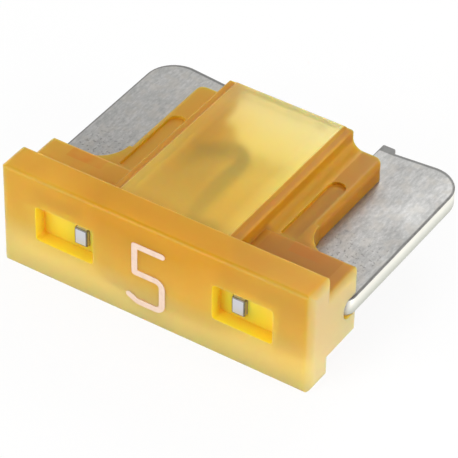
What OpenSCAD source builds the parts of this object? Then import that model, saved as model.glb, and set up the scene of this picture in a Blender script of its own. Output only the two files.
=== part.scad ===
// Low-profile blade fuse: clear amber moulding, one stamped metal strip and a printed rating figure.
// All sizes are in millimetres. +X runs across the width, +Y towards the blade tips, +Z up.
// The fuse lies on its broad side, and the origin is the middle of the bottom of its box.

/* [Sides] */
// Distance from each side of the moulding out to the line of the blades' outer sides
side_inset = 0.045; // [0:0.005:0.4]
// Radius of the upright edges on the sides
side_radius = 0.28; // [0.05:0.01:0.5]

/* [Head] */
// Height of the head from its bottom edge to its top edge
head_height = 3.62; // [2.8:0.01:5]
// Depth of the head from its front face
head_depth = 1.12; // [0.7:0.01:2]
// Radius of the four long corners of the head
head_corner_radius = 0.26; // [0.05:0.01:0.6]
// Radius of the long edges along the front and back of the head
head_rim_radius = 0.12; // [0.03:0.01:0.3]

/* [Shoulder] */
// Height of the shoulder
shoulder_height = 2.34; // [1.6:0.01:3]
// Distance from the front face to the back of the shoulder
shoulder_back = 2.62; // [1.8:0.01:4]
// Radius of the four long corners of the shoulder
shoulder_corner_radius = 0.24; // [0.03:0.01:0.4]
// Radius of the long edges along the back of the shoulder
shoulder_rim_radius = 0.12; // [0.03:0.01:0.3]
// Radius of the web between the shoulder and each rail
shoulder_web_radius = 1.1; // [0.1:0.01:1.4]

/* [Side notches] */
// Distance from the front face to the start of a side notch
notch_start = 1.78; // [1.2:0.01:2.2]
// Height of a side notch
notch_height = 0.7; // [0.64:0.01:1.4]
// Depth of a side notch
notch_depth = 0.4; // [0.1:0.01:0.8]
// Radius of a side notch's inner corners
notch_corner_radius = 0.3; // [0.05:0.01:0.34]
// Radius of the lips where a side notch opens at the back
notch_lip_radius = 0.25; // [0.05:0.01:0.4]

/* [Body] */
// Width of the body between the two blades
body_width = 4.44; // [3:0.01:6]
// Height of the body
body_height = 3.36; // [2.4:0.01:4.8]
// Distance from the front face to the open end of the body
body_back = 7.42; // [5:0.01:9]
// Radius of the body's long edges
body_edge_radius = 0.08; // [0.02:0.01:0.3]
// Width of the ledge beside the raised panel on each face of the body
body_ledge = 0.22; // [0.1:0.01:0.8]
// Height of the raised panels above the ledges
panel_rise = 0.07; // [0.02:0.01:0.2]
// Width of the slope from a ledge up to its panel
panel_slope = 0.1; // [0.05:0.01:0.4]
// Radius of the body's rim at its open end
body_rim_radius = 0.08; // [0.02:0.01:0.3]
// Radius of the hollow between the body and each rail
body_hollow_radius = 0.38; // [0.05:0.01:0.5]

/* [Rails] */
// Width across the two rails that cover the blades' inner sides
rail_width = 6.7; // [5:0.01:8]
// Height across the two rails
rail_height = 1.94; // [1.2:0.01:3]
// Radius of the rails' lips against the blades
rail_lip_radius = 0.1; // [0.02:0.01:0.25]
// Radius of the rails' long edges
rail_edge_radius = 0.2; // [0.03:0.01:0.4]
// Radius of the rails' corners at the open end
rail_corner_radius = 0.36; // [0.05:0.01:0.6]

/* [Rail pockets] */
// Distance from the middle to a pocket's centre line
pocket_offset = 2.84; // [2:0.01:4]
// Width of a pocket
pocket_width = 0.56; // [0.1:0.01:0.8]
// Distance from the front face to the start of a pocket
pocket_start = 2.84; // [1.8:0.01:4]
// Distance from the front face to the end of a pocket
pocket_end = 5.78; // [4:0.01:7]
// Depth of a pocket
pocket_depth = 0.1; // [0.05:0.01:0.4]

/* [Cavity] */
// Width of the cavity that holds the fuse link
cavity_width = 3.84; // [2:0.01:5]
// Height of the cavity
cavity_height = 2.3; // [1:0.01:3.5]
// Distance from the front face to the floor of the cavity
cavity_floor = 1.3; // [0.8:0.01:3]
// Radius of the cavity's long corners
cavity_corner_radius = 0.25; // [0.05:0.01:0.6]

/* [Windows] */
// Distance from the middle to the inner side of a window
window_inner = 2.08; // [1:0.01:3]
// Distance from the middle to the outer side of a window
window_outer = 4.14; // [3:0.01:5]
// Height of a window's top above the mid plane
window_top = 0.76; // [0.3:0.01:1.4]
// Depth of a window's bottom below the mid plane
window_bottom = 0.5; // [0.3:0.01:1.4]
// Depth of a window
window_depth = 0.45; // [0.1:0.01:1]
// Radius of a window's corners
window_corner_radius = 0.12; // [0.03:0.01:0.4]

/* [Blades] */
// Width across the outer sides of the two blades
blade_span = 10.92; // [8:0.01:14]
// Gap between the inner sides of the two blades
blade_gap = 4.98; // [3:0.01:7]
// Thickness of the metal strip
strip_thickness = 0.6; // [0.3:0.01:1]
// Distance from the front face to the inner end of a blade
blade_seat = 1.93; // [1.4:0.01:3]
// Distance from the front face to the end of a blade
blade_end = 8.75; // [6:0.01:12]
// Radius of a blade's outer corner at its end
blade_end_radius = 1; // [0.1:0.01:1.4]
// Radius of a blade's outer corner at its inner end
blade_seat_radius = 0.4; // [0.1:0.01:0.8]
// Drop of the blade's end edge from its outer to its inner side
blade_end_drop = 0.13; // [0:0.01:0.4]

/* [Blade nubs] */
// Width of the nub where the blade was cut from its carrier strip
nub_width = 0.43; // [0.1:0.01:1]
// Distance the nub stands past the blade's end
nub_rise = 0.07; // [0.02:0.01:0.3]
// Width of the slope beside the nub
nub_slope = 0.1; // [0.02:0.01:0.4]

/* [Test tabs] */
// Distance from the middle to the inner side of a test tab
tab_inner = 2.53; // [1.6:0.01:4]
// Width of a test tab
tab_width = 0.45; // [0.2:0.01:1.2]
// Distance from the front face back to a test tab's tip
tab_tip = 0.33; // [0.05:0.01:0.6]

/* [Fuse link] */
// Width of the fuse link
link_width = 0.34; // [0.1:0.01:0.8]
// Distance from the middle to the link's straight run
link_offset = 0.54; // [0.3:0.01:1.2]
// Distance from the front face to where the link leaves its first blade
link_first_root = 5; // [4:0.01:7]
// Distance from the front face to the top of the link's first bend
link_first_bend = 6.28; // [5:0.01:7.2]
// Distance from the front face to the link's second bend
link_second_bend = 2.6; // [2:0.01:4]
// Thickness of the fuse link
link_thickness = 0.3; // [0.1:0.01:0.6]

/* [Rating figure] */
// Width of the printed strokes
figure_stroke = 0.2; // [0.08:0.01:0.4]
// Thickness of the printed ink
figure_ink = 0.02; // [0.01:0.005:0.1]
// Distance of the figure's centre from the middle of the head
figure_offset = -0.12; // [-2:0.01:2]
// Height of the figure's top bar above the mid plane
figure_top = 0.96; // [0.4:0.01:1.4]
// Height of the figure's middle bar above the mid plane
figure_middle = -0.04; // [-0.4:0.01:0.4]
// Height of the figure's bottom bar above the mid plane
figure_bottom = -1.12; // [-1.5:0.01:-0.4]
// Width from the figure's upright to the right end of its top bar
figure_width = 0.96; // [0.4:0.01:1.6]

/* [Fits] */
// Gap between the strip's faces and the moulding
fit_face = 0.01; // [0.005:0.005:0.05]
// Gap between the strip's edges and the moulding
fit_edge = 0.03; // [0.01:0.005:0.1]

/* [Hidden] */
$fn = 64;
PLASTIC = [0.85, 0.62, 0.2];
METAL = [0.74, 0.74, 0.72];
INK = [0.97, 0.96, 0.95];
// Small overlap that keeps cuts clean
cut = 0.2;
blade_inner = blade_gap / 2;
blade_outer = blade_span / 2;
moulding_width = blade_span - 2 * side_inset;
nub_end = blade_end + nub_rise;
body_root = head_depth / 2;
slot_height = strip_thickness + 2 * fit_face;
lift = head_height / 2;
middle = (nub_end - figure_ink) / 2;
figure_left = figure_offset - figure_width / 2;
figure_right = figure_offset + figure_width / 2;
figure_bend = 0.24;
figure_tail = 0.3;
link_bend_radius = 0.5;

// Moves a solid from the head's own axes to the part's origin
module place() {
    translate([0, -middle, lift]) children();
}

// Rectangle centred on the origin with round corners
module round_rect(width, height, radius) {
    square([width - 2 * radius, height], center = true);
    square([width, height - 2 * radius], center = true);
    for (x = [-1, 1])
        for (y = [-1, 1])
            translate([x * (width / 2 - radius), y * (height / 2 - radius)])
                circle(r = radius);
}

// Extrudes a front-view outline from one depth to another
module front_extrude(from, to) {
    translate([0, to, 0])
        rotate([90, 0, 0])
            linear_extrude(height = to - from)
                children();
}

// Extrudes a side-view outline across the width
module side_extrude(width) {
    translate([-width / 2, 0, 0])
        rotate([90, 0, 90])
            linear_extrude(height = width)
                children();
}

// Extrudes a plan outline over a height about the mid plane
module plan_extrude(height) {
    translate([0, 0, -height / 2])
        linear_extrude(height = height)
            children();
}

// Box with its own round edges in the front, plan and side views
module round_block(width, depth, height, corner, side, rim) {
    intersection() {
        front_extrude(0, depth)
            round_rect(width, height, corner);
        translate([0, depth / 2, 0])
            plan_extrude(height + cut)
                round_rect(width, depth, side);
        translate([0, depth / 2, 0])
            side_extrude(width + cut)
                round_rect(depth, height, rim);
    }
}

// Straight round-ended stroke between two points
module stroke(from, to, width) {
    run = to - from;
    translate(from)
        rotate([0, 0, atan2(run[1], run[0])]) {
            translate([0, -width / 2])
                square([norm(run), width]);
            circle(r = width / 2);
            translate([norm(run), 0])
                circle(r = width / 2);
        }
}

// Quarter ring about a point, starting at a given angle
module quarter_ring(centre, radius, width, angle) {
    reach = radius + width;
    translate(centre)
        rotate([0, 0, angle])
            intersection() {
                difference() {
                    circle(r = radius + width / 2);
                    circle(r = radius - width / 2);
                }
                square([reach, reach]);
            }
}

// Outline left when two lips of a gap are rounded, for a gap that opens along +X
module lip_cut(edge, gap, radius) {
    difference() {
        translate([edge - radius, -gap / 2 - radius])
            square([radius + cut, gap + 2 * radius]);
        for (side = [-1, 1])
            translate([edge - radius, side * (gap / 2 + radius)])
                circle(r = radius);
    }
}

// Front view of the raised panel on the upper face of the body
module panel_front() {
    ledge = body_height / 2 - panel_rise;
    base = body_width / 2 - body_ledge;
    top = base - panel_slope;
    polygon([
        [-base, 0],
        [base, 0],
        [base, ledge],
        [top, body_height / 2],
        [-top, body_height / 2],
        [-base, ledge]
    ]);
}

// Front view of the body with its two rails
module body_front() {
    round_rect(body_width, body_height - 2 * panel_rise, body_edge_radius);
    for (z = [-1, 1])
        scale([1, z])
            panel_front();
    difference() {
        round_rect(rail_width, rail_height, rail_edge_radius);
        for (x = [-1, 1])
            scale([x, 1])
                lip_cut(rail_width / 2, slot_height, rail_lip_radius);
    }
    for (x = [-1, 1])
        for (z = [-1, 1])
            scale([x, z])
                translate([body_width / 2, rail_height / 2])
                    difference() {
                        translate([-cut, -cut])
                            square([body_hollow_radius + cut, body_hollow_radius + cut]);
                        translate([body_hollow_radius, body_hollow_radius])
                            circle(r = body_hollow_radius);
                    }
}

// Body and rails with rounded ends
module body_block() {
    reach = body_back - body_root;
    intersection() {
        front_extrude(body_root, body_back)
            body_front();
        translate([0, body_root + reach / 2, 0])
            plan_extrude(body_height + cut)
                round_rect(rail_width, reach, rail_corner_radius);
        translate([0, body_root + reach / 2, 0])
            side_extrude(rail_width + cut)
                round_rect(reach, body_height, body_rim_radius);
    }
}

// Webs in the corners between the shoulder and the rails
module shoulder_webs() {
    for (x = [-1, 1])
        scale([x, 1, 1])
            translate([rail_width / 2, shoulder_back, 0])
                plan_extrude(rail_height)
                    difference() {
                        translate([-cut, -cut])
                            square([shoulder_web_radius + cut, shoulder_web_radius + cut]);
                        translate([shoulder_web_radius, shoulder_web_radius])
                            circle(r = shoulder_web_radius);
                    }
}

// Notches in both sides, in which the blades' outer edges lie
module side_notches() {
    reach = notch_depth + side_inset + cut;
    run = shoulder_back - notch_start + cut;
    for (x = [-1, 1])
        translate([x * (blade_outer + cut - reach / 2), 0, 0])
            side_extrude(reach) {
                translate([notch_start + run / 2, 0])
                    round_rect(run, notch_height, notch_corner_radius);
                lip_cut(shoulder_back, notch_height, notch_lip_radius);
            }
}

// Shallow pockets on both faces of both rails, round at the end away from the head
module rail_pockets() {
    radius = pocket_width / 2;
    run = pocket_end - radius - pocket_start;
    for (x = [-1, 1])
        for (z = [-1, 1])
            scale([x, 1, z])
                translate([pocket_offset, pocket_start, rail_height / 2 - pocket_depth])
                    linear_extrude(height = pocket_depth + cut) {
                        translate([-radius, 0])
                            square([pocket_width, run]);
                        translate([0, run])
                            circle(r = radius);
                    }
}

// Openings in the front face over the test tabs
module windows() {
    width = window_outer - window_inner;
    height = window_top + window_bottom;
    for (x = [-1, 1])
        translate([x * (window_inner + window_outer) / 2, 0, (window_top - window_bottom) / 2])
            front_extrude(-cut, window_depth)
                round_rect(width, height, window_corner_radius);
}

// Plan outline of one blade's inner end and test tab, grown by the fit of the slot
module blade_root_plan(grow) {
    inner = blade_inner - grow;
    outer = blade_outer + grow;
    radius = blade_seat_radius;
    translate([inner, blade_seat + radius])
        square([outer - inner, body_back - blade_seat]);
    translate([inner, blade_seat])
        square([outer - inner - radius, radius * 2]);
    translate([outer - radius, blade_seat + radius])
        circle(r = radius);
    translate([tab_inner - grow, tab_tip])
        square([tab_width + 2 * grow, blade_seat + radius - tab_tip]);
}

// Hollow inside the moulding, open at the back
module housing_hollow() {
    for (x = [-1, 1])
        scale([x, 1, 1])
            plan_extrude(slot_height)
                blade_root_plan(fit_edge);
    translate([0, blade_seat + body_back / 2, 0])
        cube([blade_gap + cut, body_back, slot_height], center = true);
    front_extrude(cavity_floor, body_back + cut)
        round_rect(cavity_width, cavity_height, cavity_corner_radius);
}

// Moulded housing
module housing() {
    color(PLASTIC)
        place()
            difference() {
                union() {
                    round_block(
                        moulding_width,
                        head_depth,
                        head_height,
                        head_corner_radius,
                        side_radius,
                        head_rim_radius
                    );
                    translate([0, body_root, 0])
                        round_block(
                            moulding_width,
                            shoulder_back - body_root,
                            shoulder_height,
                            shoulder_corner_radius,
                            side_radius,
                            shoulder_rim_radius
                        );
                    body_block();
                    shoulder_webs();
                }
                windows();
                side_notches();
                rail_pockets();
                housing_hollow();
            }
}

// Plan outline of one blade with its test tab
module blade_plan() {
    side_end = blade_end - blade_end_radius;
    tip_start = blade_outer - blade_end_radius;
    nub_edge = blade_inner + nub_width;
    low_end = blade_end - blade_end_drop;
    polygon([
        [blade_inner, blade_seat],
        [blade_outer - blade_seat_radius, blade_seat],
        [blade_outer - blade_seat_radius, blade_seat + blade_seat_radius],
        [blade_outer, blade_seat + blade_seat_radius],
        [blade_outer, side_end],
        [tip_start, side_end],
        [tip_start, blade_end],
        [nub_edge + nub_slope, low_end],
        [nub_edge, nub_end],
        [blade_inner, nub_end]
    ]);
    translate([blade_outer - blade_seat_radius, blade_seat + blade_seat_radius])
        circle(r = blade_seat_radius);
    translate([tip_start, side_end])
        circle(r = blade_end_radius);
    translate([tab_inner, tab_tip])
        square([tab_width, blade_seat + cut - tab_tip]);
}

// Plan outline of the link between the two blades
module link_plan() {
    bend = link_bend_radius;
    left_turn = [-link_offset - bend, link_first_bend - link_width / 2 - bend];
    right_turn = [-link_offset + bend, link_second_bend + bend];
    stroke([-blade_inner - cut, link_first_root], [left_turn[0], left_turn[1] + bend], link_width);
    quarter_ring(left_turn, bend, link_width, 0);
    stroke([-link_offset, left_turn[1]], [-link_offset, right_turn[1]], link_width);
    quarter_ring(right_turn, bend, link_width, 180);
    stroke([right_turn[0], link_second_bend], [blade_inner + cut, link_second_bend], link_width);
}

// Stamped strip with both blades, both test tabs and the fuse link
module fuse_element() {
    color(METAL)
        place() {
            for (x = [-1, 1])
                scale([x, 1, 1])
                    plan_extrude(strip_thickness)
                        blade_plan();
            plan_extrude(link_thickness)
                link_plan();
        }
}

// Front view of the printed figure five
module figure_front() {
    half = figure_stroke / 2;
    knee = [figure_right - figure_bend, figure_middle];
    hip = [figure_right, figure_middle - figure_bend];
    ankle = [figure_right, figure_bottom + figure_bend];
    heel = [figure_right - figure_bend, figure_bottom];
    toe = [figure_left + half, figure_bottom];
    stroke([figure_left, figure_top], [figure_right, figure_top], figure_stroke);
    stroke([figure_left, figure_top], [figure_left, figure_middle], figure_stroke);
    stroke([figure_left, figure_middle], knee, figure_stroke);
    quarter_ring([knee[0], hip[1]], figure_bend, figure_stroke, 0);
    stroke(hip, ankle, figure_stroke);
    quarter_ring([knee[0], ankle[1]], figure_bend, figure_stroke, -90);
    stroke(heel, toe, figure_stroke);
    stroke(toe, [toe[0] - figure_tail, figure_bottom + figure_tail / 2], figure_stroke);
}

// Printed rating figure on the front face
module rating_number() {
    color(INK)
        place()
            front_extrude(-figure_ink, 0)
                figure_front();
}

housing();
fuse_element();
rating_number();
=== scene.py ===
from math import radians

import bpy
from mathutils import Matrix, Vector


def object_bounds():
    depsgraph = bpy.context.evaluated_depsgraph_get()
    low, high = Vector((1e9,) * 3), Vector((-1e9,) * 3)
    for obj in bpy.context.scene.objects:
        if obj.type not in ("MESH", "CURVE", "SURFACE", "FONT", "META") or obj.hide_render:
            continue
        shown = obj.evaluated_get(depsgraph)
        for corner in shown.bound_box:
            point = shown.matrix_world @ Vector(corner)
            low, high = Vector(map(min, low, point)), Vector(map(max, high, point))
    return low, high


# Frame

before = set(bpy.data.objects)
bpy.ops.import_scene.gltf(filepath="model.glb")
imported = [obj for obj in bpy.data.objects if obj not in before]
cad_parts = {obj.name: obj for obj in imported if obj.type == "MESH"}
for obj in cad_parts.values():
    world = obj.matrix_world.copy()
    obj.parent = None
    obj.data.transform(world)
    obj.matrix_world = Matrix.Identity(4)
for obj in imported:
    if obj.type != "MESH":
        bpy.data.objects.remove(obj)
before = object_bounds()

MM = 0.001
HOUSING = "housing"
ELEMENT = "fuse_element"
FIGURE = "rating_number"


def mm(*sizes):
    return tuple(size * MM for size in sizes)


# Camera in the photograph's place

CAMERA_PLACE = (0.037577, -0.05913, 0.058959)
CAMERA_TURN = (radians(50.212), radians(-0.840), radians(33.270))
CAMERA_LENS = 238.31
CAMERA_SENSOR = 36.0
CAMERA_CLIP_START = 0.001
CAMERA_CLIP_END = 5.0

# Sky and floor

WHITE = (1.0, 1.0, 1.0, 1.0)
SKY_LIGHT = 0.55
MIRRORED_HEADING = (0.35, 0.55)
MIRRORED_STRENGTH = (1.0, 0.14)
FLOOR_HALF = 0.4
FLOOR_GAP = 0.01 * MM
FLOOR_PAINT = (0.95, 0.95, 0.95, 1.0)
FLOOR_ROUGHNESS = 0.6
FLOOR_GLOW = 0.9

# Lamps: name, place, aim, size and power

LAMPS = (
    ("back_lamp", (-0.018, 0.094, 0.068), (0.0, 0.003, 0.0), 0.05, 0.04),
    ("right_lamp", (0.10, 0.0, 0.03), (0.0, 0.0, 0.001), 0.06, 0.07),
    ("front_lamp", (-0.04, -0.10, 0.05), (0.0, 0.0, 0.0), 0.06, 0.07),
)

# Noises: scale, detail and roughness

CLOUD = (500.0, 3.0, 0.5)
AMBER_GRAIN = (2600.0, 4.0, 0.6)
METAL_GRAIN = (12000.0, 3.0, 0.65)
METAL_LINES = (9000.0, 2.0, 0.5)
METAL_PITS = (9000.0, 2.0, 0.5)
METAL_CAST = (2500.0, 2.0, 0.5)
METAL_PATCHES = (900.0, 2.0, 0.5)
EDGE_SPECKS = (6000.0, 2.0, 0.5)
INK_SPECKS = (5000.0, 3.0, 0.6)
GRAIN_STRETCH = (1.0, 0.4, 1.0)
LINE_STRETCH = (1.0, 0.05, 1.0)

# Places on the moulding

SOFT_BORDER = 0.03 * MM
MOULDING_UP = mm(0.1, 3.5)
MOULDING_SIDE = mm(5.2, 5.3)
CORE_ACROSS = mm(1.2, 4.2)
BODY_START = mm(-3.30, -3.20)
PANEL_SIDE = mm(1.86, 1.96)
VIEW_START = mm(-2.8, -0.2)
VIEW_END = mm(2.4, 3.0)
VIEW_SIDE = mm(1.3, 1.85)
SHADE_ACROSS = mm(-2.5, 2.5)
BODY_SHADE_ACROSS = mm(-1.2, 0.4)
BODY_SHADE_ALONG = mm(-2.2, 0.2)
LIT_ALONG = mm(0.4, 2.9)
RIGHTWARD = mm(-1.5, 2.0)
BORDER_ACROSS = mm(-2.1, -1.2)
BORDER_ALONG = mm(-1.5, 1.5)
LEDGE_ACROSS = mm(1.93, 2.24)
SEAT_ACROSS = mm(3.3, 4.5)
SEAT_ALONG = mm(-2.3, -1.7)
STEP_ACROSS = mm(2.5, 4.9)
STEP_ALONG = mm(-3.2, -1.75)
WALL_ACROSS = mm(2.25, 2.58)
WALL_START = mm(-1.9, -1.5)
WINDOW_ALONG = mm(-4.38, -3.93)
WINDOW_ACROSS = mm(2.06, 4.16)
WINDOW_UP = mm(1.29, 2.59)

# Colours of the moulding

AMBER_STOPS = ((0.0, (1.0, 0.78, 0.26)), (0.4, (0.94, 0.61, 0.08)), (1.0, (0.80, 0.44, 0.008)))
SIDE_LIGHT_TINT = (1.0, 0.80, 0.42)
DEEP_TINT = (0.50, 0.21, 0.001)
CLEAR_TINT = (1.0, 0.78, 0.22)
BODY_SHADE_TINT = (0.95, 0.62, 0.10)
LIT_TINT = (1.0, 0.90, 0.52)
BORDER_SHADE_TINT = (0.76, 0.42, 0.06)
LEDGE_SHADE_TINT = (0.60, 0.30, 0.03)
SEAT_SHADE_TINT = (0.80, 0.28, 0.005)
STEP_SHADE_TINT = (0.58, 0.23, 0.002)
WALL_TINT = (0.85, 0.50, 0.02)
WINDOW_LIGHT_TINT = (1.0, 0.70, 0.05)
INSIDE_TINT = (0.98, 0.78, 0.02, 1.0)

# How strongly each of those colours shows

MID_NOISE = 0.5
CLOUD_SHARE = 0.3
CORE_SHARE = 0.3
HEIGHT_SHADE_SHARE = 0.75
SIDE_LIGHT_SHARE = 0.7
TOP_SHADE = (1.0, 0.4)
ACROSS_SHADE = (0.05, 1.3)
BODY_SHADE_SHARE = 0.5
LIT_SHARE = 0.6
BORDER_SHADE_SHARE = 0.65
LEDGE_SHADE_SHARE = 0.8
LEDGE_LEAST = 0.55
LEDGE_FACING = (0.3, 0.7)
SEAT_SHADE_SHARE = 0.7
SEAT_CLOUD = (0.4, 0.6)
STEP_SHADE_SHARE = 0.5
WALL_SHARE = 0.7

# Clearness, haze and grain of the moulding

VIEW_DEPTH = (0.45, 1.0)
CLEARNESS = (0.5, 0.78)
WINDOW_MILK = 0.7
HAZE = (0.5, 0.2)
AMBER_BUMP = 0.05
AMBER_BUMP_DEPTH = 0.02 * MM

# Places on the metal strip

TIP_ACROSS = mm(3.02, 4.46)
TIP_ALONG = mm(3.22, 3.35)
CORNER_ACROSS = TIP_ACROSS[1]
CORNER_STRETCH = 0.88
ROLLED_BAND = mm(0.85, 0.90)
PIT_ACROSS = mm(3.4, 5.2)
PIT_ALONG = mm(-1.0, 1.6)
CUT_UP = mm(1.55, 2.05)
LINK_SIDE = mm(2.3, 2.45)
TAB_ALONG = mm(-3.2, -2.8)

# Colours of the metal strip and how strongly they show

METAL_STOPS = ((0.34, (0.38, 0.378, 0.37)), (0.5, (0.46, 0.457, 0.447)), (0.66, (0.56, 0.556, 0.544)))
CUT_STOPS = ((0.1, (0.52, 0.53, 0.47)), (0.75, (0.82, 0.81, 0.74)))
EDGE_STOPS = ((0.3, (0.16, 0.157, 0.15)), (0.7, (0.27, 0.265, 0.254)))
WARM_TINT = (0.52, 0.49, 0.44)
PIT_TINT = (0.17, 0.17, 0.16)
ROLLED_TINT = (0.16, 0.16, 0.155)
LINK_SHADE_TINT = (0.20, 0.17, 0.10)
TAB_TINT = (0.60, 0.63, 0.72)
GRAIN_SHARE = 0.75
LINE_SHARE = 0.25
CAST_LEVEL = (0.5, 0.62)
CAST_SHARE = 0.35
PIT_LEVEL = (0.58, 0.66)
PIT_SHARE = 0.6
ROLLED_SHARE = 0.8
METAL_FACING = (0.6, 0.9)
PATCH_LEVEL = (0.3, 0.7)
PATCH_ROUGHNESS = (0.42, 0.6)
METAL_BUMP = 0.3
METAL_BUMP_DEPTH = 0.01 * MM

# Rounded edges of the metal strip

WELD_REACH = 0.001 * MM
FLAT_ANGLE = radians(1)
EDGE_ANGLE = radians(60)
EDGE_WIDTH = 0.045 * MM
EDGE_STEPS = 2
EDGE_SLOT = 1

# Colours of the printed ink

INK_STOPS = ((0.3, (0.72, 0.54, 0.43)), (0.6, (0.79, 0.61, 0.50)))

# Colour sockets of a Mix node, and where a ramp's new stop first stands

MIX_UNDER = 6
MIX_OVER = 7
MIX_RESULT = 2
NEW_STOP = 0.5


# Node helpers

def node(tree, kind, **values):
    made = tree.nodes.new(kind)
    for name, value in values.items():
        setattr(made, name, value)
    return made


def put(made, **values):
    for name, value in values.items():
        made.inputs[name.replace("_", " ")].default_value = value


def split(tree, vector):
    made = node(tree, "ShaderNodeSeparateXYZ")
    tree.links.new(vector, made.inputs["Vector"])
    return made.outputs


def noise(tree, place, scale, detail, rough):
    made = node(tree, "ShaderNodeTexNoise")
    put(made, Scale=scale, Detail=detail, Roughness=rough)
    tree.links.new(place, made.inputs["Vector"])
    return made.outputs["Fac"]


def stretched(tree, place, scale):
    made = node(tree, "ShaderNodeMapping")
    put(made, Scale=scale)
    tree.links.new(place, made.inputs["Vector"])
    return made.outputs["Vector"]


def ramp(tree, fac, stops):
    made = node(tree, "ShaderNodeValToRGB")
    line = made.color_ramp
    while len(line.elements) < len(stops):
        line.elements.new(NEW_STOP)
    for element, (at, colour) in zip(line.elements, stops):
        element.position = at
        element.color = (*colour, 1.0)
    tree.links.new(fac, made.inputs["Fac"])
    return made.outputs["Color"]


def bumped(tree, height, strength, distance):
    made = node(tree, "ShaderNodeBump")
    put(made, Strength=strength, Distance=distance)
    tree.links.new(height, made.inputs["Height"])
    return made.outputs["Normal"]


def maths(tree, operation, *values):
    made = node(tree, "ShaderNodeMath", operation=operation)
    for socket, value in zip(made.inputs, values):
        if isinstance(value, float):
            socket.default_value = value
        else:
            tree.links.new(value, socket)
    return made.outputs["Value"]


def product(tree, *values):
    total = values[0]
    for value in values[1:]:
        total = maths(tree, "MULTIPLY", total, value)
    return total


def inverse(tree, value):
    return maths(tree, "SUBTRACT", 1.0, value)


def ranged(tree, value, source=(0.0, 1.0), target=(0.0, 1.0), curve="LINEAR"):
    made = node(tree, "ShaderNodeMapRange", interpolation_type=curve)
    put(made, From_Min=source[0], From_Max=source[1], To_Min=target[0], To_Max=target[1])
    tree.links.new(value, made.inputs["Value"])
    return made.outputs["Result"]


def span(tree, value, limits):
    return ranged(tree, value, source=limits, curve="SMOOTHSTEP")


def outside(tree, value, limits):
    return inverse(tree, span(tree, value, limits))


def between(tree, value, limits):
    low, high = limits
    rise = span(tree, value, (low - SOFT_BORDER, low))
    return product(tree, rise, outside(tree, value, (high, high + SOFT_BORDER)))


# Laying colours over one another

def layered(tree, colour, layers):
    for mask, tint in layers:
        made = node(tree, "ShaderNodeMix", data_type="RGBA")
        tree.links.new(mask, made.inputs["Factor"])
        tree.links.new(colour, made.inputs[MIX_UNDER])
        if isinstance(tint, tuple):
            made.inputs[MIX_OVER].default_value = (*tint, 1.0)
        else:
            tree.links.new(tint, made.inputs[MIX_OVER])
        colour = made.outputs[MIX_RESULT]
    return colour


# Materials

def fresh(name):
    material = bpy.data.materials.new(name)
    material.use_nodes = True
    tree = material.node_tree
    tree.nodes.clear()
    return material, tree


def dress(obj, material):
    obj.data.materials.clear()
    obj.data.materials.append(material)


def surface(tree, closure):
    out = node(tree, "ShaderNodeOutputMaterial")
    tree.links.new(closure, out.inputs["Surface"])
    return out


def principled(tree, varied, **values):
    shader = node(tree, "ShaderNodeBsdfPrincipled")
    put(shader, **values)
    for name, value in varied.items():
        tree.links.new(value, shader.inputs[name])
    return shader.outputs["BSDF"]


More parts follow.
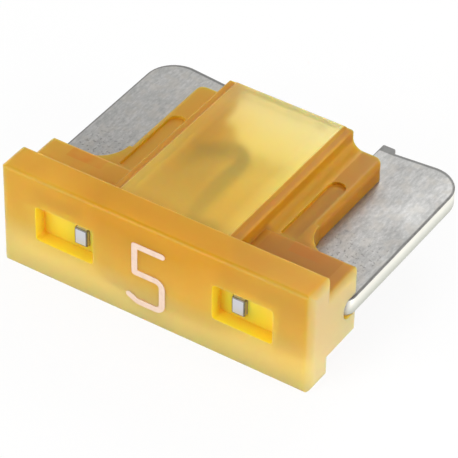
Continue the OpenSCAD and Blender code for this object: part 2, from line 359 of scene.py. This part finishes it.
def amber_plastic():
    material, tree = fresh("amber_plastic")
    coords = node(tree, "ShaderNodeTexCoord")
    place = coords.outputs["Object"]
    across, along, up = split(tree, place)
    normal = split(tree, coords.outputs["Normal"])
    away = maths(tree, "ABSOLUTE", across)
    cloud = noise(tree, place, *CLOUD)

    # Warmer towards the top and the middle; the rise with height is painted light, paler towards the
    # bottom as if lit from the white floor below, and the cloud is random tone
    height = span(tree, up, MOULDING_UP)
    wobble = product(tree, maths(tree, "SUBTRACT", cloud, MID_NOISE), CLOUD_SHARE)
    core = product(tree, outside(tree, away, CORE_ACROSS), height, CORE_SHARE)
    height_shade = product(tree, height, HEIGHT_SHADE_SHARE)
    warmth = maths(tree, "ADD", height_shade, maths(tree, "ADD", wobble, core))

    # Parts of the moulding
    behind = span(tree, along, BODY_START)
    beside = span(tree, away, PANEL_SIDE)
    thin = product(tree, behind, inverse(tree, beside))
    outer = span(tree, away, MOULDING_SIDE)
    covered = product(tree, behind, beside, inverse(tree, outer))
    rightward = span(tree, across, RIGHTWARD)
    window = product(
        tree,
        between(tree, along, WINDOW_ALONG),
        between(tree, away, WINDOW_ACROSS),
        between(tree, up, WINDOW_UP),
    )

    # Where the layers of colour lie
    # Painted light: the outer faces of the head are made paler where they turn sideways
    lit_flank = product(tree, maths(tree, "ABSOLUTE", normal["X"]), SIDE_LIGHT_SHARE)
    lit_side = product(tree, lit_flank, outer)
    # Painted shade, partly thicker plastic: beyond the thin panel the moulding goes towards the deep
    # tint, less on faces turned up and least on the left
    upright = ranged(tree, normal["Z"], target=TOP_SHADE)
    shaded = ranged(tree, across, SHADE_ACROSS, ACROSS_SHADE)
    shade = product(tree, covered, product(tree, upright, shaded))
    thick_and_shaded = maths(tree, "MINIMUM", shade, 1.0)
    # Painted shade: the left and near parts of the thin body top take a deeper tint
    left = product(tree, thin, outside(tree, across, BODY_SHADE_ACROSS), BODY_SHADE_SHARE)
    near = product(tree, thin, outside(tree, along, BODY_SHADE_ALONG), BODY_SHADE_SHARE)
    body_shade = maths(tree, "MAXIMUM", left, near)
    # Painted reflection: the thin body top turns paler towards its end, a bright sheen
    far_sheen = product(tree, thin, span(tree, along, LIT_ALONG), LIT_SHARE)
    # Painted shade: a deeper band along the left of the thin body top, from midway to its end
    border_shade = product(
        tree,
        thin,
        outside(tree, across, BORDER_ACROSS),
        span(tree, along, BORDER_ALONG),
        BORDER_SHADE_SHARE,
    )
    # Painted shade: the tilted strips beside the body top are darkened, more on the right
    ledge_shade = product(
        tree,
        between(tree, away, LEDGE_ACROSS),
        span(tree, maths(tree, "ABSOLUTE", normal["Z"]), LEDGE_FACING),
        maths(tree, "MAXIMUM", rightward, LEDGE_LEAST),
        behind,
        LEDGE_SHADE_SHARE,
    )
    # Deeper mottled orange on the shoulder tops behind the head: thicker plastic with painted shade
    seat_shade = product(
        tree,
        between(tree, away, SEAT_ACROSS),
        between(tree, along, SEAT_ALONG),
        span(tree, cloud, SEAT_CLOUD),
        SEAT_SHADE_SHARE,
    )
    # Painted shade: the shoulder tops on the right are darkened
    step_shade = product(
        tree,
        rightward,
        between(tree, away, STEP_ACROSS),
        between(tree, along, STEP_ALONG),
        STEP_SHADE_SHARE,
    )
    wall = product(tree, between(tree, away, WALL_ACROSS), span(tree, along, WALL_START), WALL_SHARE)
    colour = layered(
        tree,
        ramp(tree, warmth, AMBER_STOPS),
        (
            (lit_side, SIDE_LIGHT_TINT),
            (thick_and_shaded, DEEP_TINT),
            (thin, CLEAR_TINT),
            (body_shade, BODY_SHADE_TINT),
            (far_sheen, LIT_TINT),
            (border_shade, BORDER_SHADE_TINT),
            (ledge_shade, LEDGE_SHADE_TINT),
            (seat_shade, SEAT_SHADE_TINT),
            (step_shade, STEP_SHADE_TINT),
            (wall, WALL_TINT),
            # Painted light: the window recesses are brightened to a clear yellow
            (window, WINDOW_LIGHT_TINT),
        ),
    )

    # Clearest over the link
    seen_in = product(
        tree,
        behind,
        outside(tree, away, VIEW_SIDE),
        outside(tree, along, VIEW_END),
        ranged(tree, along, VIEW_START, VIEW_DEPTH),
    )
    clearness = ranged(tree, seen_in, target=CLEARNESS)
    unclouded = inverse(tree, product(tree, window, WINDOW_MILK))
    shader = principled(
        tree,
        {
            "Base Color": colour,
            "Transmission Weight": product(tree, clearness, unclouded),
            "Roughness": ranged(tree, thin, target=HAZE),
            "Normal": bumped(tree, noise(tree, place, *AMBER_GRAIN), AMBER_BUMP, AMBER_BUMP_DEPTH),
        },
        IOR=1.45,
        Subsurface_Weight=1.0,
        Subsurface_Radius=(1.0, 0.6, 0.2),
        Subsurface_Scale=MM,
        Specular_IOR_Level=0.22,
        Coat_Weight=0.1,
        Coat_Roughness=0.1,
    )
    inside = node(tree, "ShaderNodeVolumeAbsorption")
    put(inside, Color=INSIDE_TINT, Density=300.0)
    tree.links.new(inside.outputs["Volume"], surface(tree, shader).inputs["Volume"])
    return material


# Distance past a rounded blade corner's centre

def from_corner(tree, away, along):
    tip = ranged(tree, away, TIP_ACROSS, TIP_ALONG)
    past_side = maths(tree, "MAXIMUM", maths(tree, "SUBTRACT", away, CORNER_ACROSS), 0.0)
    past_tip = maths(tree, "MAXIMUM", maths(tree, "SUBTRACT", along, tip), 0.0)
    side_square = product(tree, past_side, past_side, CORNER_STRETCH)
    squares = maths(tree, "ADD", side_square, product(tree, past_tip, past_tip))
    return maths(tree, "SQRT", squares)


def plated_metal():
    material, tree = fresh("plated_metal")
    coords = node(tree, "ShaderNodeTexCoord")
    place = coords.outputs["Object"]
    across, along, up = split(tree, place)
    normal = split(tree, coords.outputs["Normal"])
    away = maths(tree, "ABSOLUTE", across)
    grain = noise(tree, stretched(tree, place, GRAIN_STRETCH), *METAL_GRAIN)
    lines = noise(tree, stretched(tree, place, LINE_STRETCH), *METAL_LINES)
    worn = maths(tree, "ADD", product(tree, grain, GRAIN_SHARE), product(tree, lines, LINE_SHARE))
    warm = product(tree, span(tree, noise(tree, place, *METAL_CAST), CAST_LEVEL), CAST_SHARE)
    pitted = product(
        tree,
        span(tree, noise(tree, place, *METAL_PITS), PIT_LEVEL),
        between(tree, away, PIT_ACROSS),
        outside(tree, along, PIT_ALONG),
        PIT_SHARE,
    )
    rolled = product(
        tree,
        span(tree, maths(tree, "ABSOLUTE", normal["Z"]), METAL_FACING),
        span(tree, from_corner(tree, away, along), ROLLED_BAND),
        ROLLED_SHARE,
    )
    sheared = span(tree, maths(tree, "ABSOLUTE", normal["X"]), METAL_FACING)
    colour = layered(
        tree,
        ramp(tree, worn, METAL_STOPS),
        (
            (warm, WARM_TINT),
            (pitted, PIT_TINT),
            (rolled, ROLLED_TINT),
            (sheared, ramp(tree, ranged(tree, up, CUT_UP), CUT_STOPS)),
            # Painted shade: the link between the blades is darkened where it lies inside the moulding
            (outside(tree, away, LINK_SIDE), LINK_SHADE_TINT),
            (outside(tree, along, TAB_ALONG), TAB_TINT),
        ),
    )
    patches = noise(tree, place, *METAL_PATCHES)
    shader = principled(
        tree,
        {
            "Base Color": colour,
            "Roughness": ranged(tree, patches, PATCH_LEVEL, PATCH_ROUGHNESS),
            "Normal": bumped(tree, worn, METAL_BUMP, METAL_BUMP_DEPTH),
        },
        Metallic=0.75,
        IOR=1.5,
    )
    surface(tree, shader)
    return material


def speckled(name, specks, stops, **values):
    material, tree = fresh(name)
    place = node(tree, "ShaderNodeTexCoord").outputs["Object"]
    tint = ramp(tree, noise(tree, place, *specks), stops)
    surface(tree, principled(tree, {"Base Color": tint}, **values))
    return material


# Moulding, metal strip and figure

dress(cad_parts[HOUSING], amber_plastic())
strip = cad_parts[ELEMENT]
dress(strip, plated_metal())
# Painted shade: the bevelled metal edges get a dark speckled material, standing for the dark lines along
# the rounded edges
strip.data.materials.append(speckled("edge_shade", EDGE_SPECKS, EDGE_STOPS, Metallic=0.6, Roughness=0.55))
joined = strip.modifiers.new("joined", "WELD")
joined.merge_threshold = WELD_REACH
flats = strip.modifiers.new("flats", "DECIMATE")
flats.decimate_type = "DISSOLVE"
flats.angle_limit = FLAT_ANGLE
rounding = strip.modifiers.new("edge", "BEVEL")
rounding.width = EDGE_WIDTH
rounding.segments = EDGE_STEPS
rounding.limit_method = "ANGLE"
rounding.angle_limit = EDGE_ANGLE
rounding.use_clamp_overlap = False
rounding.harden_normals = True
rounding.material = EDGE_SLOT
dress(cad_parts[FIGURE], speckled("white_ink", INK_SPECKS, INK_STOPS, Roughness=0.5))

# World: white to the eye and through the moulding, plain light elsewhere

world = bpy.data.worlds.new("studio")
bpy.context.scene.world = world
world.use_nodes = True
sky = world.node_tree
sky.nodes.clear()
heading = split(sky, node(sky, "ShaderNodeTexCoord").outputs["Generated"])
mirrored = ranged(sky, heading["Z"], MIRRORED_HEADING, MIRRORED_STRENGTH, curve="SMOOTHSTEP")
rays = node(sky, "ShaderNodeLightPath").outputs
glossy = rays["Is Glossy Ray"]
through = maths(sky, "MAXIMUM", rays["Is Camera Ray"], rays["Is Transmission Ray"])
plain = product(sky, inverse(sky, glossy), SKY_LIGHT)
lighting = maths(sky, "ADD", product(sky, glossy, mirrored), plain)
background = node(sky, "ShaderNodeBackground")
put(background, Color=WHITE)
sky.links.new(maths(sky, "MAXIMUM", through, lighting), background.inputs["Strength"])
sky_out = node(sky, "ShaderNodeOutputWorld")
sky.links.new(background.outputs["Background"], sky_out.inputs["Surface"])

# Floor: white to the eye, with the part's shadow

floor_mesh = bpy.data.meshes.new("floor")
floor_mesh.from_pydata(
    [
        (-FLOOR_HALF, -FLOOR_HALF, 0.0),
        (FLOOR_HALF, -FLOOR_HALF, 0.0),
        (FLOOR_HALF, FLOOR_HALF, 0.0),
        (-FLOOR_HALF, FLOOR_HALF, 0.0),
    ],
    [],
    [(0, 1, 2, 3)],
)
floor = bpy.data.objects.new("floor", floor_mesh)
floor.location.z = before[0].z - FLOOR_GAP
bpy.context.scene.collection.objects.link(floor)
floor_look, tree = fresh("floor")
paths = node(tree, "ShaderNodeLightPath").outputs
seen = maths(tree, "MAXIMUM", paths["Is Camera Ray"], paths["Is Glossy Ray"])
seen = maths(tree, "MAXIMUM", seen, paths["Is Transmission Ray"])
glow = node(tree, "ShaderNodeEmission")
put(glow, Color=WHITE)
blend = node(tree, "ShaderNodeMixShader")
paint = principled(tree, {}, Base_Color=FLOOR_PAINT, Roughness=FLOOR_ROUGHNESS)
sources = (product(tree, seen, FLOOR_GLOW), paint, glow.outputs["Emission"])
for socket, source in zip(blend.inputs, sources):
    tree.links.new(source, socket)
surface(tree, blend.outputs["Shader"])
dress(floor, floor_look)

# Lamps

for name, place, aim, size, power in LAMPS:
    lamp = bpy.data.lights.new(name, "AREA")
    lamp.size = size
    lamp.energy = power
    lamp_object = bpy.data.objects.new(name, lamp)
    lamp_object.location = place
    direction = Vector(aim) - Vector(place)
    lamp_object.rotation_euler = direction.to_track_quat("-Z", "Y").to_euler()
    bpy.context.scene.collection.objects.link(lamp_object)

# Camera

camera_data = bpy.data.cameras.new("camera")
camera_data.lens = CAMERA_LENS
camera_data.sensor_width = CAMERA_SENSOR
camera_data.clip_start = CAMERA_CLIP_START
camera_data.clip_end = CAMERA_CLIP_END
camera = bpy.data.objects.new("camera", camera_data)
camera.location = CAMERA_PLACE
camera.rotation_euler = CAMERA_TURN
bpy.context.scene.collection.objects.link(camera)
bpy.context.scene.camera = camera
bpy.context.scene.view_settings.view_transform = "Standard"
